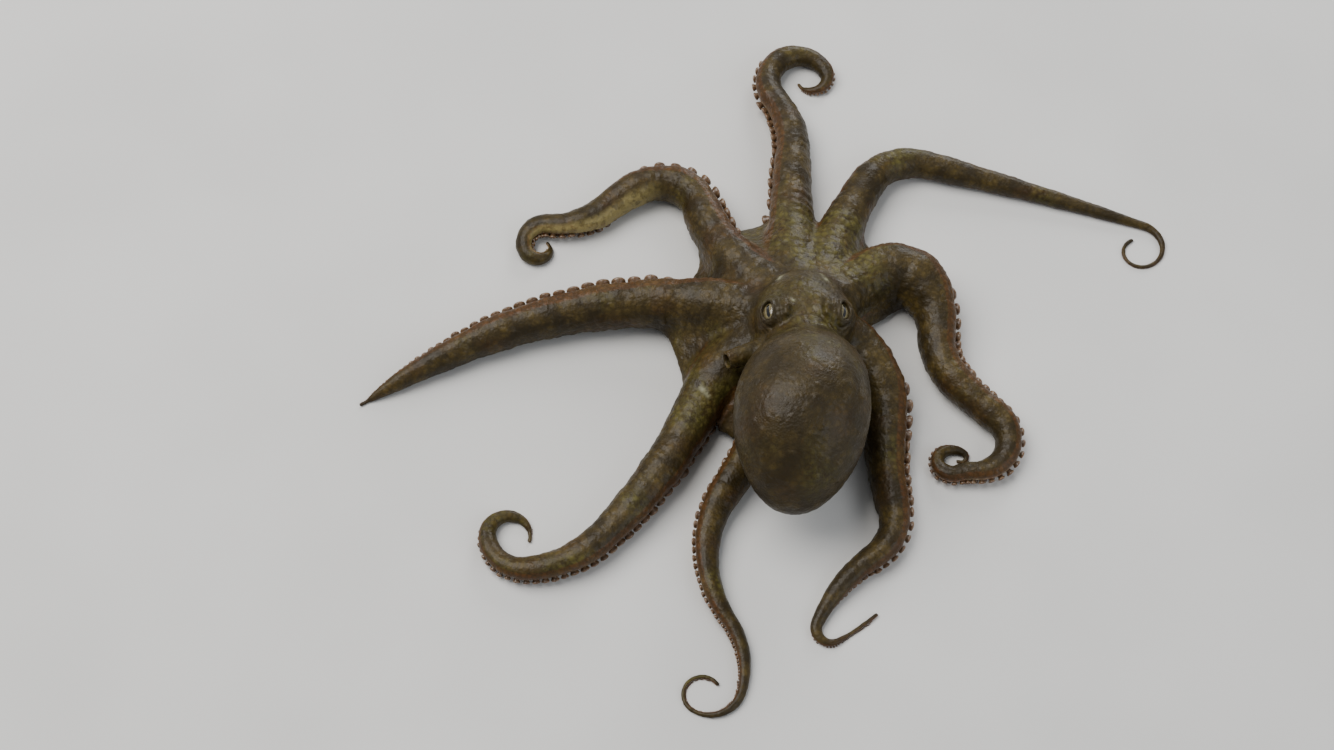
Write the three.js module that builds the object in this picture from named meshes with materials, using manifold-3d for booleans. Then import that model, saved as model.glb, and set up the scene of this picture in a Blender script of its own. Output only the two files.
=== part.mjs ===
// A life-size octopus at rest: a sack-shaped mantle behind a low head, and eight
// arms spread over the floor from a webbed crown. Millimetres, +Z up. The octopus
// faces +Y, and its mouth is over the origin. Left and right are the animal's own.
import * as THREE from "three";
import { mergeVertices } from "three/addons/utils/BufferGeometryUtils.js";
import Module from "manifold-3d";

const wasm = await Module();
wasm.setup();

// ---- Driving dimensions -------------------------------------------------------

const GAP = 0.3; // clear space between two neighbouring pieces
const SINK = 0.2; // how far a rounded underside would dip, before the floor flattens it
const PATH_STEP = 0.25; // spacing of the points that hold an arm's centre line

const ARM = {
  rootRadius: 6, // where the arms start round the mouth
  rootWidth: 12,
  tipWidth: 1,
  depthShare: 0.92, // thickness from back to sucker side, over width
  rootLift: 2.5, // extra height over the floor beside the mouth
  liftEnds: 28, // distance along the arm where it lies on the floor
  crownEnds: 28, // length of arm that belongs to the crown
  lengths: { inner: 5, middle: 5, outer: 5, tip: 7 }, // with the facets along each
  crownFacets: 6,
  sides: 9,
};

// Each arm leaves the ring of roots at the azimuth root, heading along aim, and then
// follows arcs of [length, turn to the left]. Its width falls from root to tip as
// (1 - share ** shoulder) ** fullness: a high shoulder keeps the arm thick for longer,
// and a high fullness draws it out thin. roll turns the sucker side towards the arm's
// own left, at even steps from root to tip. A swell thickens the arm by up to growth
// round the share at, and tipFacets makes room for a tight coil. Angles are in degrees.
const ARMS = {
  left_1: {
    root: 101, aim: 91, shoulder: 1, fullness: 0.52, roll: [0, 35, 50, 45, 35],
    arcs: [[40, -5], [16, 34], [12, -70], [14, -120], [10, -170]],
  },
  left_2: {
    root: 146, aim: 133, shoulder: 1, fullness: 0.5, roll: [-20, -60, -70, 40, 60],
    arcs: [[32, -27], [16, 100], [10, 16], [13, -51], [10, 123], [9, 188]],
  },
  left_3: {
    root: 191, aim: 152, shoulder: 2, fullness: 0.65, roll: [-20, -65, -75, -65, -40],
    arcs: [[30, 31], [37, 24], [24, 5]],
  },
  left_4: {
    root: 236, aim: 186, shoulder: 1, fullness: 0.58, roll: [0, 15, 25, 30, 35],
    arcs: [[23, 61], [36, -21], [16, -42], [13, -90], [14, -190]],
  },
  right_4: {
    root: 281, aim: 245, shoulder: 1, fullness: 1.2, roll: [0, -35, -50, -45, -35],
    arcs: [[37, -7], [28, 66], [15, -50], [12, -110], [12, -190]],
  },
  right_3: {
    root: 326, aim: 337, shoulder: 1.5, fullness: 1.1, roll: [20, 50, 55, 10, -50],
    arcs: [[25, -74], [18, 18], [12, -68], [18, 32], [7, 146], [9, 8]],
  },
  right_2: {
    root: 11, aim: 59, shoulder: 1, fullness: 0.56, roll: [20, 50, 60, 50, 45],
    arcs: [
      [14, -26], [12, -88], [11, -42], [13, 47], [10, 9],
      [17.5, -143], [3.5, 20], [9.5, -180], [3.5, -43], [3, -166],
    ],
    swell: { at: 0.24, reach: 0.15, growth: 0.3 },
    tipFacets: 11,
  },
  right_1: {
    root: 56, aim: 77, shoulder: 1, fullness: 1.1, roll: [0, 25, 40, 30, 10],
    arcs: [[35, -17], [16, -75], [49, -5], [14, -148], [10, -160]],
  },
};

const NO_SWELL = { at: 0, reach: 1, growth: 0 };

// The web's depth from the mouth, in the sectors that follow each arm of ARMS.
const WEB = {
  depths: [30, 28, 28.5, 30, 18, 16, 28, 29.5],
  rise: 3, // how much further out the web's edge meets an arm
  edgeTop: 2.6,
  edgeBottom: 0.9,
  crownTop: 15,
  hollow: 3.5, // how far the underside rises towards the mouth
  segments: 32,
};

const MOUTH = { centre: [0, 0, 8.5], radii: [11.5, 11.5, 9] };

const HEAD = {
  centre: [0, -4, 14.4],
  radii: [9.6, 10.6, 8.2],
  moundCentre: [5.6, -5.8, 17.5],
  moundRadius: 4.8,
};

const EYE = { centre: [5.7, -6, 18.6], radius: 3.4 };

const MANTLE = {
  front: -9,
  back: -47.8,
  halfWidth: 13.5,
  halfHeight: 11.3,
  frontBluntness: 2.1, // 2 is an ellipse, and more fills the end out
  neckHeight: 16.5,
  highPoint: 20.5,
  backHeight: 14,
  sideways: -3.2, // where the rear end lies, off the animal's midline
};

const SIPHON = {
  start: [-5, -10, 13.5],
  end: [-16.5, -14.5, 15],
  rootRadius: 3.4,
  rimRadius: 2.1,
  boreRadius: 1.3,
  boreDepth: 3.5,
};

const COLOURS = {
  flesh: { color: 0x5a4028, roughness: 0.5, metalness: 0 },
  eye: { color: 0xb08a4a, roughness: 0.2, metalness: 0 },
};

// ---- Solids and meshes --------------------------------------------------------

// A closed three.js geometry as a manifold-3d solid, for joining and cutting.
function solid(geometry) {
  const bare = geometry.clone();
  bare.deleteAttribute("normal");
  bare.deleteAttribute("uv");
  const merged = mergeVertices(bare, 1e-4);
  return new wasm.Manifold(
    new wasm.Mesh({
      numProp: 3,
      vertProperties: merged.attributes.position.array,
      triVerts: new Uint32Array(merged.index.array),
    }),
  );
}

function mesh(name, body, look) {
  const { numProp, vertProperties, triVerts, numVert } = body.getMesh();
  const places = new Float32Array(numVert * 3);
  for (let i = 0; i < numVert; i++) {
    places.set(vertProperties.subarray(i * numProp, i * numProp + 3), i * 3);
  }
  const geometry = new THREE.BufferGeometry();
  geometry.setAttribute("position", new THREE.BufferAttribute(places, 3));
  geometry.setIndex(new THREE.BufferAttribute(triVerts, 1));
  const made = new THREE.Mesh(geometry, new THREE.MeshStandardMaterial(look));
  made.name = name;
  return made;
}

// Moves every vertex of a geometry to where place(vertex) puts it.
function reshape(geometry, place) {
  const positions = geometry.attributes.position;
  const vertex = new THREE.Vector3();
  for (let i = 0; i < positions.count; i++) {
    vertex.fromBufferAttribute(positions, i);
    const moved = place(vertex);
    positions.setXYZ(i, moved.x, moved.y, moved.z);
  }
  return geometry;
}

const join = (bodies) => bodies.reduce((all, body) => all.add(body));
const cut = (body, tools) => tools.reduce((left, tool) => left.subtract(tool), body);

// An ellipsoid. grown is a clear space added all round.
function ellipsoid([x, y, z], radii, grown = 0, across = 16, down = 10) {
  const geometry = new THREE.SphereGeometry(1, across, down).rotateX(Math.PI / 2);
  geometry.scale(radii[0] + grown, radii[1] + grown, radii[2] + grown);
  return solid(geometry.translate(x, y, z));
}

const belowFloor = solid(new THREE.BoxGeometry(400, 400, 40).translate(0, 0, -20));

// ---- Arms ---------------------------------------------------------------------

const radians = THREE.MathUtils.degToRad;
const { smoothstep, lerp } = THREE.MathUtils;

// The arm's centre line on the floor: a point and a heading every PATH_STEP.
function tracePath(arm) {
  const root = radians(arm.root);
  let x = ARM.rootRadius * Math.cos(root);
  let y = ARM.rootRadius * Math.sin(root);
  let heading = radians(arm.aim);
  const points = [{ x, y, heading }];
  for (const [length, turn] of arm.arcs) {
    const steps = Math.round(length / PATH_STEP);
    for (let i = 0; i < steps; i++) {
      heading += radians(turn) / steps / 2;
      x += PATH_STEP * Math.cos(heading);
      y += PATH_STEP * Math.sin(heading);
      heading += radians(turn) / steps / 2;
      points.push({ x, y, heading });
    }
  }
  return points;
}

function pointAt(path, distance) {
  const place = Math.min(distance / PATH_STEP, path.length - 1.001);
  const index = Math.floor(place);
  const [from, to] = [path[index], path[index + 1]];
  const share = place - index;
  return {
    x: lerp(from.x, to.x, share),
    y: lerp(from.y, to.y, share),
    heading: lerp(from.heading, to.heading, share),
  };
}

function widthAt(arm, share) {
  const left = Math.max(1 - share ** arm.shoulder, 0);
  const tapered = Math.max(ARM.tipWidth, ARM.rootWidth * left ** arm.fullness);
  const { at, reach, growth } = arm.swell ?? NO_SWELL;
  return tapered * (1 + growth * (1 - smoothstep(Math.abs(share - at), 0, reach)));
}

function rollAt(arm, share) {
  const place = Math.min(share, 0.9999) * (arm.roll.length - 1);
  const index = Math.floor(place);
  return radians(lerp(arm.roll[index], arm.roll[index + 1], place - index));
}

// A point of the arm's outline, sideways and upwards from its centre line. The back
// is round, and the side with the two rows of suckers is squarer.
function outline(width, angle, roll) {
  const across = Math.abs(Math.cos(angle)) / (width / 2);
  const through = Math.abs(Math.sin(angle)) / ((width * ARM.depthShare) / 2);
  const power = Math.sin(angle) < 0 ? 2.8 : 2;
  const reach = Math.pow(across ** power + through ** power, -1 / power);
  return { side: reach * Math.cos(angle + roll), up: reach * Math.sin(angle + roll) };
}

// The height of the centre line where the arm's lowest side lies on the floor.
function restingHeight(width, roll) {
  let lowest = 0;
  for (let i = 0; i < ARM.sides; i++) {
    lowest = Math.min(lowest, outline(width, (i / ARM.sides) * 2 * Math.PI, roll).up);
  }
  return -lowest - SINK;
}

// One length of an arm, from the distance start to the distance end from its root.
function armLength(arm, start, end, facets, grown = 0) {
  const path = tracePath(arm);
  const whole = (path.length - 1) * PATH_STEP;
  const geometry = new THREE.CylinderGeometry(1, 1, 1, ARM.sides, facets);
  reshape(geometry, (vertex) => {
    const distance = lerp(start, end, vertex.y + 0.5);
    const share = distance / whole;
    const { x, y, heading } = pointAt(path, distance);
    const width = widthAt(arm, share) + 2 * grown;
    const roll = rollAt(arm, share);
    const lift = ARM.rootLift * (1 - smoothstep(distance, 0, ARM.liftEnds));
    const height = restingHeight(width - 2 * grown, roll) + lift;
    const radial = Math.hypot(vertex.x, vertex.z);
    const { side, up } = outline(width, Math.atan2(vertex.x, vertex.z), roll);
    return new THREE.Vector3(
      x - radial * side * Math.sin(heading),
      y + radial * side * Math.cos(heading),
      height + radial * up,
    );
  });
  return solid(geometry);
}

// The distances where an arm is divided, from the crown's edge to the tip.
function divisions(arm) {
  const whole = arm.arcs.reduce((sum, [length]) => sum + length, 0);
  const count = Object.keys(ARM.lengths).length;
  return Array.from({ length: count + 1 }, (_, i) => lerp(ARM.crownEnds, whole, i / count));
}

// ---- Crown --------------------------------------------------------------------

const arms = Object.values(ARMS);

// The azimuth at which an arm crosses the circle of the given radius.
function azimuthAt(arm, radius) {
  const { x, y } = tracePath(arm).find((point) => Math.hypot(point.x, point.y) >= radius);
  return Math.atan2(y, x);
}

// The distance from the mouth to the web's edge, which bows in between two arms.
const webSectors = arms.map((arm, i) => {
  const next = arms[(i + 1) % arms.length];
  const from = azimuthAt(arm, WEB.depths[i]);
  const span = azimuthAt(next, WEB.depths[i]) - from;
  return { from, span: THREE.MathUtils.euclideanModulo(span, 2 * Math.PI), depth: WEB.depths[i] };
});

function webReach(azimuth) {
  const offsets = webSectors.map(({ from }) =>
    THREE.MathUtils.euclideanModulo(azimuth - from, 2 * Math.PI),
  );
  const index = offsets.findIndex((offset, i) => offset <= webSectors[i].span);
  const { span, depth } = webSectors[Math.max(index, 0)];
  const off = (2 * offsets[Math.max(index, 0)]) / span - 1;
  return depth + WEB.rise * Math.min(off ** 2, 1);
}

function web() {
  const shares = [0, 0.45, 0.8, 1];
  const under = shares.map((share) => new THREE.Vector2(share, -1));
  const over = [...shares].reverse().map((share) => new THREE.Vector2(share, 1));
  const geometry = new THREE.LatheGeometry([...under, ...over], WEB.segments);
  reshape(geometry, (vertex) => {
    const share = Math.hypot(vertex.x, vertex.z);
    const azimuth = Math.atan2(vertex.x, vertex.z);
    const reach = share * webReach(azimuth);
    const over = WEB.edgeTop + (WEB.crownTop - WEB.edgeTop) * Math.max(1 - share ** 1.6, 0);
    const under = WEB.edgeBottom + WEB.hollow * (1 - share);
    const height = vertex.y > 0 ? over : under;
    return new THREE.Vector3(reach * Math.cos(azimuth), reach * Math.sin(azimuth), height);
  });
  return solid(geometry);
}

function crown() {
  const roots = arms.map((arm) => armLength(arm, 0, ARM.crownEnds, ARM.crownFacets));
  return join([ellipsoid(MOUTH.centre, MOUTH.radii), web(), ...roots]);
}

// ---- Head, mantle and siphon --------------------------------------------------

const mirrored = ([x, y, z], side) => [x * side, y, z];

function eye(side, grown = 0) {
  const radius = EYE.radius + grown;
  return ellipsoid(mirrored(EYE.centre, side), [radius, radius, radius], 0, 12, 7);
}

function head(grown = 0) {
  const mounds = [-1, 1].map((side) => {
    const radius = HEAD.moundRadius;
    const centre = mirrored(HEAD.moundCentre, side);
    return ellipsoid(centre, [radius, radius, radius], grown, 10, 7);
  });
  return join([ellipsoid(HEAD.centre, HEAD.radii, grown), ...mounds]);
}

// The mantle's height over the floor, from its front (0) to its rear end (1).
function mantleHeight(share) {
  const rise = MANTLE.highPoint - lerp(MANTLE.neckHeight, MANTLE.backHeight, share);
  return MANTLE.highPoint - rise * (2 * share - 1) ** 2;
}

function mantle(grown = 0) {
  const length = MANTLE.front - MANTLE.back + 2 * grown;
  const geometry = new THREE.SphereGeometry(1, 22, 15);
  reshape(geometry, (vertex) => {
    const along = vertex.y;
    const share = (1 - along) / 2;
    const circle = Math.sqrt(Math.max(1 - along ** 2, 0));
    const bluntness = along > 0 ? MANTLE.frontBluntness : 2;
    const fill = Math.max(1 - Math.abs(along) ** bluntness, 0) ** (1 / bluntness);
    const swell = circle > 1e-6 ? fill / circle : 0;
    return new THREE.Vector3(
      vertex.x * swell * (MANTLE.halfWidth + grown) + MANTLE.sideways * share,
      MANTLE.front + grown - share * length,
      vertex.z * swell * (MANTLE.halfHeight + grown) + mantleHeight(share),
    );
  });
  return solid(geometry);
}

// The siphon is a short tapered tube, open at its rim.
function siphon() {
  const from = new THREE.Vector3(...SIPHON.start);
  const along = new THREE.Vector3(...SIPHON.end).sub(from);
  const length = along.length();
  const { rootRadius, rimRadius, boreRadius, boreDepth } = SIPHON;
  const profile = [
    [0, 0],
    [rootRadius, 0],
    [rimRadius, length - 1],
    [rimRadius + 0.2, length - 0.3],
    [rimRadius - 0.2, length],
    [boreRadius, length - 0.4],
    [boreRadius, length - boreDepth],
    [0, length - boreDepth],
  ];
  return tubeAlong(profile, from, along.normalize());
}

// The room the siphon takes up, with a clear space all round.
function siphonRoom() {
  const from = new THREE.Vector3(...SIPHON.start);
  const along = new THREE.Vector3(...SIPHON.end).sub(from);
  const length = along.length();
  const { rootRadius, rimRadius } = SIPHON;
  const profile = [
    [0, -GAP],
    [rootRadius + GAP, -GAP],
    [rimRadius + 0.2 + GAP, length - 1],
    [rimRadius + 0.2 + GAP, length + GAP],
    [0, length + GAP],
  ];
  return tubeAlong(profile, from, along.normalize());
}

// Turns a profile of [radius, distance] about the line that leaves from along the
// given direction.
function tubeAlong(profile, from, direction) {
  const points = profile.map(([radius, distance]) => new THREE.Vector2(radius, distance));
  const geometry = new THREE.LatheGeometry(points, 12);
  const upright = new THREE.Vector3(0, 1, 0);
  geometry.applyQuaternion(new THREE.Quaternion().setFromUnitVectors(upright, direction));
  return solid(geometry.translate(from.x, from.y, from.z));
}

// ---- The octopus --------------------------------------------------------------

const octopus = new THREE.Group();
const eyeSides = { left: -1, right: 1 };
const eyeRoom = Object.values(eyeSides).map((side) => eye(side, GAP));
const mantleRoom = mantle(GAP);
const headRoom = head(GAP);
const armBodies = [];

for (const [name, arm] of Object.entries(ARMS)) {
  const ends = divisions(arm);
  const lengths = { ...ARM.lengths, tip: arm.tipFacets ?? ARM.lengths.tip };
  Object.entries(lengths).forEach(([part, facets], i) => {
    const body = armLength(arm, ends[i] + GAP, ends[i + 1], facets);
    armBodies.push([`arm_${name}_${part}`, cut(body, [belowFloor, mantleRoom])]);
  });
}
const innerRoom = arms.map((arm) =>
  armLength(arm, ARM.crownEnds, divisions(arm)[1], ARM.lengths.inner, GAP),
);
const crownBody = cut(crown(), [belowFloor, mantleRoom, headRoom, siphonRoom(), ...innerRoom]);
const siphonBody = cut(siphon(), [mantleRoom, headRoom]);

octopus.add(
  mesh("mantle", mantle(), COLOURS.flesh),
  mesh("head", cut(head(), [mantleRoom, ...eyeRoom]), COLOURS.flesh),
  mesh("siphon", siphonBody, COLOURS.flesh),
  mesh("arm_crown", crownBody, COLOURS.flesh),
  ...Object.entries(eyeSides).map(([name, side]) => mesh(`eye_${name}`, eye(side), COLOURS.eye)),
  ...armBodies.map(([name, body]) => mesh(name, body, COLOURS.flesh)),
);

export default octopus;
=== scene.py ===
"""A life-size octopus at rest, as a still museum model.

The flesh is one skin. It is modelled as a field of distances to the surface, in
which the arms, web, head, mantle, siphon and eyelids melt into each other, and the
field is then meshed. Suckers, eyes and beak are pieces of their own. Anatomy is in
millimetres, with the mouth over the origin, the octopus facing +Y and the floor at
z = 0. Left and right are the animal's own.
"""
import math

import bpy
import numpy as np
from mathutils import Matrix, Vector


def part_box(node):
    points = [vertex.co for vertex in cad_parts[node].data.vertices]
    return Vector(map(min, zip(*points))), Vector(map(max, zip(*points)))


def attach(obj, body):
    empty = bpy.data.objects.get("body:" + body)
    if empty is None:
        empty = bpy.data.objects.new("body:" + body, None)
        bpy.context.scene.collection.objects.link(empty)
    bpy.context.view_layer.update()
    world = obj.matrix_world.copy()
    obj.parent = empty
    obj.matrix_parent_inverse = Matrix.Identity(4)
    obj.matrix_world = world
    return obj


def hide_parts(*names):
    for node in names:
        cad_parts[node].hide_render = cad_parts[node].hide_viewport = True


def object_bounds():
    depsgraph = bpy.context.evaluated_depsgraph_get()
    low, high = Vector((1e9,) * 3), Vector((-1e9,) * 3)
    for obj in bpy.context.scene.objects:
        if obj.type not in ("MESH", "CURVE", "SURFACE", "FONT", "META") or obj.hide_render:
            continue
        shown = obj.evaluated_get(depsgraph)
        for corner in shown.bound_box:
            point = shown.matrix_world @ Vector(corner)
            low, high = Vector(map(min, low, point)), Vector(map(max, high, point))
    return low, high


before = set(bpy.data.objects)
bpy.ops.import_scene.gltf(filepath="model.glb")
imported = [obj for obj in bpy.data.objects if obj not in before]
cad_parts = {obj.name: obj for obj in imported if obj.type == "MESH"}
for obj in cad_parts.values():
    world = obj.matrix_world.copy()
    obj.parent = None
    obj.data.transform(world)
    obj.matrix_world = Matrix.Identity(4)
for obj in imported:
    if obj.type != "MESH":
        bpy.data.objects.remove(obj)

import openvdb
from mathutils import Vector
from mathutils.kdtree import KDTree

CAD_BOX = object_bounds()
MM = 0.001
SEED = 27
TINY = 1e-6  # keeps divisions clear of zero

# ---- Driving dimensions, in millimetres and degrees ----

VOXEL = 0.3  # spacing of the distance field, and so of the skin's mesh
FAR = 4.0  # distances are only kept this near to a surface
FIELD_MARGIN = 5  # steps of the field left free round the model
FLOOR_GAP = 0.04  # how far above the floor the flattened underside lies
FIELD_FLOOR = FLOOR_GAP + 0.02  # where the field is cut flat

ARM_STEP = 0.5  # between two stations of an arm's centre line
ROOT_RADIUS = 6.0  # where the arms start round the mouth
ROOT_WIDTH = 12.0
TIP_WIDTH = 1.0
DEPTH_SHARE = 0.92  # thickness from back to sucker side, over width
SECTION_CORNERS = 9  # of which the lowest meets the floor
ORAL_POWER = 2.8  # how square an arm's sucker side is with its suckers
SKIN_ORAL_POWER = 2.3  # and without them
SLACK_DEPTH = 0.07  # the share by which the slackest stretch thins
ROOT_LIFT = 2.5  # how far an arm's root is raised
LIFT_ENDS = 28.0
SINK = 0.2  # how far the floor presses an arm flat

# Each arm leaves the ring of roots at the azimuth root, heading along aim, and follows
# arcs of (length, turn to the left). Its width falls as (1 - share ** shoulder) **
# fullness, and roll turns its sucker side to its own left. A swell of (place, reach,
# growth) thickens it within reach of a place, which is a share of its length.
ARMS = {
    "left_1": dict(
        root=101, aim=91, shoulder=1, fullness=0.52, roll=(0, 35, 50, 45, 35),
        arcs=((40, -5), (16, 34), (12, -70), (14, -120), (10, -170)),
    ),
    "left_2": dict(
        root=146, aim=133, shoulder=1, fullness=0.5, roll=(-20, -60, -70, 40, 60),
        arcs=((32, -27), (16, 100), (10, 16), (13, -51), (10, 123), (9, 188)),
    ),
    "left_3": dict(
        root=191, aim=152, shoulder=2, fullness=0.65, roll=(-20, -65, -75, -65, -40),
        arcs=((30, 31), (37, 24), (24, 5)),
    ),
    "left_4": dict(
        root=236, aim=186, shoulder=1, fullness=0.58, roll=(0, 15, 25, 30, 35),
        arcs=((23, 61), (36, -21), (16, -42), (13, -90), (14, -190)),
    ),
    "right_4": dict(
        root=281, aim=245, shoulder=1, fullness=1.2, roll=(0, -35, -50, -45, -35),
        arcs=((37, -7), (28, 66), (15, -50), (12, -110), (12, -190)),
    ),
    "right_3": dict(
        root=326, aim=337, shoulder=1.5, fullness=1.1, roll=(20, 50, 55, 10, -50),
        arcs=((25, -74), (18, 18), (12, -68), (18, 32), (7, 146), (9, 8)),
    ),
    "right_2": dict(
        root=11, aim=59, shoulder=1, fullness=0.56, roll=(20, 50, 60, 50, 45),
        arcs=(
            (14, -26), (12, -88), (11, -42), (13, 47), (10, 9),
            (17.5, -143), (3.5, 20), (9.5, -180), (3.5, -43), (3, -166),
        ),
        swell=(0.24, 0.15, 0.3),
    ),
    "right_1": dict(
        root=56, aim=77, shoulder=1, fullness=1.1, roll=(0, 25, 40, 30, 10),
        arcs=((35, -17), (16, -75), (49, -5), (14, -148), (10, -160)),
    ),
}

WEB_DEPTHS = (30, 28, 28.5, 30, 18, 16, 28, 29.5)  # the sectors that follow each arm
WEB_RISE = 3.0  # how much further out the web's edge meets an arm
WEB_BOW = 1.6  # how far the edge is drawn in, midway between two arms
WEB_EDGE_BACK = 0.3  # and all along, for its fillet
WEB_EASE = 9  # degrees to each side over which it is eased
WEB_EDGE_TOP = 2.2
WEB_EDGE_BOTTOM = 1.2
WEB_CROWN = 12.4  # the middle's height over the edge
WEB_CROWN_POWER = 1.6
WEB_HOLLOW = 3.5
WEB_TAPER = 0.85  # how fast distances grow above its slope
WEB_FOLD_HEIGHT = 0.5
WEB_FOLD_TURNS = 7  # more make narrower folds
WEB_FOLD_STRETCH = 0.12  # less makes longer folds

MOUTH = dict(centre=(0, 0, 8.5), radii=(10, 10, 6.2))
LIPS = dict(radius=2.3, height=2.4, thickness=1.0, folds=13, fold_depth=0.16)
GAPE = dict(radius=1.35, top=5.0)
HEAD = dict(centre=(0, -4, 14.4), radii=(9.6, 10.6, 7.6))
NECK = dict(centre=(-0.3, -10.5, 15.2), radii=(8.4, 5.5, 7.0))
MOUND_CENTRE = (5.6, -5.8, 17.5)
MOUND_RADIUS = 4.6

MANTLE = dict(
    front=-9.0, back=-47.8, half_width=13.5, half_height=11.3, front_bluntness=2.1,
    neck_height=16.5, high_point=20.5, back_height=14.0, sideways=-3.2,
)
MANTLE_LENGTH = MANTLE["front"] - MANTLE["back"]

SIPHON = dict(
    start=(-5, -10, 13.5), end=(-16.5, -14.5, 15.0), root=3.2, rim=1.95, bore=1.3,
    lip=0.9, trim=0.25, bore_depth=3.5, bore_past=3.0, room=6.0,
)

EYE_RADIUS = 3.15
EYE_AXIS = (0.66, -0.03, 0.75)  # the way the right eye looks
EYE_OPENING = (2.05, 1.2)  # half width and half height
EYE_CAPSULE = 0.35  # the skin's thickness round the eyeball
EYE_BARED = 0.35  # how far under the eyeball's surface the opening reaches
LID = dict(outside=0.3, above=0.25, thickness=0.42)  # off the opening and the eyeball

# The width of the fillet where each part melts into the flesh, and on its edges.
BLEND = dict(
    arm=1.4, web=3.0, mouth=2.0, head=3.5, neck=2.0, mound=2.0, capsule=0.8, lid=0.5,
    lips=0.7, siphon=1.5,
)
EDGE = dict(web=0.8, opening=0.3, gape=0.5, rim=0.8, bore=0.5, floor=0.25)
MANTLE_SEAM = 0.4  # the fillet below, where its edge is free
MANTLE_JOIN = 2.4  # and above, where it has grown onto the head
MANTLE_JOIN_HEIGHTS = (14.0, 20.0)

SUCKER_HEIGHT = 0.15  # this and the next three are shares of the arm's width
SUCKER_RADIUS = 0.14
SUCKER_ROW = 0.2  # how far each row lies off the middle
SUCKER_ROOM = 0.13  # how much thinner the skin is than the whole arm
SUCKER_SPACING = 1.03  # to the next one, in radii

VIEW_ELEVATION = 60.0
VIEW_DISTANCE = 389.0
VIEW_TARGET = (-28, -9, 0)
VIEW_LENS = 50.0

# ---- Small helpers ----


def add_object(name, data):
    made = bpy.data.objects.new(name, data)
    bpy.context.scene.collection.objects.link(made)
    return made


def smoothstep(low, high, value):
    share = np.clip((value - low) / (high - low), 0, 1)
    return share * share * (3 - 2 * share)


def unit(vector):
    vector = np.asarray(vector, float)
    return vector / np.linalg.norm(vector)


def smooth_min(a, b, blend):
    """The nearer of two distances, rounded where they meet within blend."""
    return np.minimum(a, b) - np.maximum(blend - np.abs(a - b), 0) ** 2 / (4 * blend)


def smooth_max(a, b, blend):
    return -smooth_min(-a, -b, blend)


NOISE_VALUES = 4096  # in a noise's table: a power of two
CELL_PRIMES = (73856093, 19349663, 83492791)


def cell_keys(cells):
    """Each cell's place in a noise's table of random values."""
    x, y, z = (cells[:, i] * prime for i, prime in enumerate(CELL_PRIMES))
    return (x ^ y ^ z) & (NOISE_VALUES - 1)


def lattice_noise(points, size, seed):
    """Smooth noise from -1 to 1 with features about size across."""
    random = np.random.default_rng(SEED + seed)
    table = random.uniform(-1, 1, NOISE_VALUES).astype(np.float32)
    place = points / size
    cell = np.floor(place).astype(np.int64)
    share = place - cell
    share = share * share * (3 - 2 * share)
    total = np.zeros(len(points))
    for corner in np.ndindex(2, 2, 2):
        weight = np.prod(np.where(corner, share, 1 - share), axis=1)
        total += weight * table[cell_keys(cell + corner)]
    return total


def cracks(points, size, seed):
    """How deep each point lies inside its cell of a random network: 0 on a border."""
    table = np.random.default_rng(SEED + seed).uniform(0, 1, (NOISE_VALUES, 3))
    place = points / size
    cell = np.floor(place).astype(np.int64)
    nearest = np.full(len(points), np.inf)
    second = np.full(len(points), np.inf)
    for offset in np.ndindex(3, 3, 3):
        at = cell + np.array(offset) - 1
        distance = np.linalg.norm(at + table[cell_keys(at)] - place, axis=1)
        second = np.minimum(second, np.maximum(nearest, distance))
        nearest = np.minimum(nearest, distance)
    return second - nearest


# ---- Arms as centre lines and sections ----


def from_zero(steps):
    return np.concatenate([[0], np.cumsum(steps)])


def trace_arm(arm):
    """The arm's centre line, with its directions, width and roll, every ARM_STEP."""
    lengths, turns = zip(*arm["arcs"])
    whole = sum(lengths)
    s = np.arange(0, whole + ARM_STEP / 2, ARM_STEP)
    turned = np.interp(s, from_zero(lengths), from_zero(turns))
    heading = np.radians(arm["aim"] + turned)
    middle = (heading[1:] + heading[:-1]) / 2
    root = math.radians(arm["root"])
    x = ROOT_RADIUS * math.cos(root) + from_zero(ARM_STEP * np.cos(middle))
    y = ROOT_RADIUS * math.sin(root) + from_zero(ARM_STEP * np.sin(middle))
    share = s / whole
    left = np.maximum(1 - share ** arm["shoulder"], 0)
    place, reach_of_swell, growth = arm.get("swell", (0, 1, 0))
    swell = growth * (1 - smoothstep(0, reach_of_swell, np.abs(share - place)))
    tapered = np.maximum(TIP_WIDTH, ROOT_WIDTH * left ** arm["fullness"])
    width = tapered * (1 + swell)
    roll = np.radians(np.interp(share, np.linspace(0, 1, len(arm["roll"])), arm["roll"]))
    angles = np.linspace(0, 2 * np.pi, SECTION_CORNERS, endpoint=False)
    heights = [whole_reach(width, angle) * np.sin(angle + roll) for angle in angles]
    lowest = np.min(heights, axis=0)
    height = ROOT_LIFT * (1 - smoothstep(0, LIFT_ENDS, s)) - lowest - SINK
    return dict(
        s=s, whole=whole, width=width, tapered=tapered, roll=roll,
        centre=np.stack([x, y, height], axis=1),
        along=np.stack([np.cos(heading), np.sin(heading), 0 * s], axis=1),
        side=np.stack([-np.sin(heading), np.cos(heading), 0 * s], axis=1),
    )


def reach(width, angle, oral_depth, oral_power):
    """The outline's distance from the centre line. Its back is an ellipse, and its sucker
    side is oral_depth deep and squarer for a higher oral_power."""
    back = np.sin(angle) >= 0
    depth = np.where(back, width * DEPTH_SHARE / 2, oral_depth)
    power = np.where(back, 2.0, oral_power)
    across = np.abs(np.cos(angle)) / (width / 2)
    through = np.abs(np.sin(angle)) / depth
    return (across**power + through**power) ** (-1 / power)


def whole_reach(width, angle):
    return reach(width, angle, width * DEPTH_SHARE / 2, ORAL_POWER)


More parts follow.
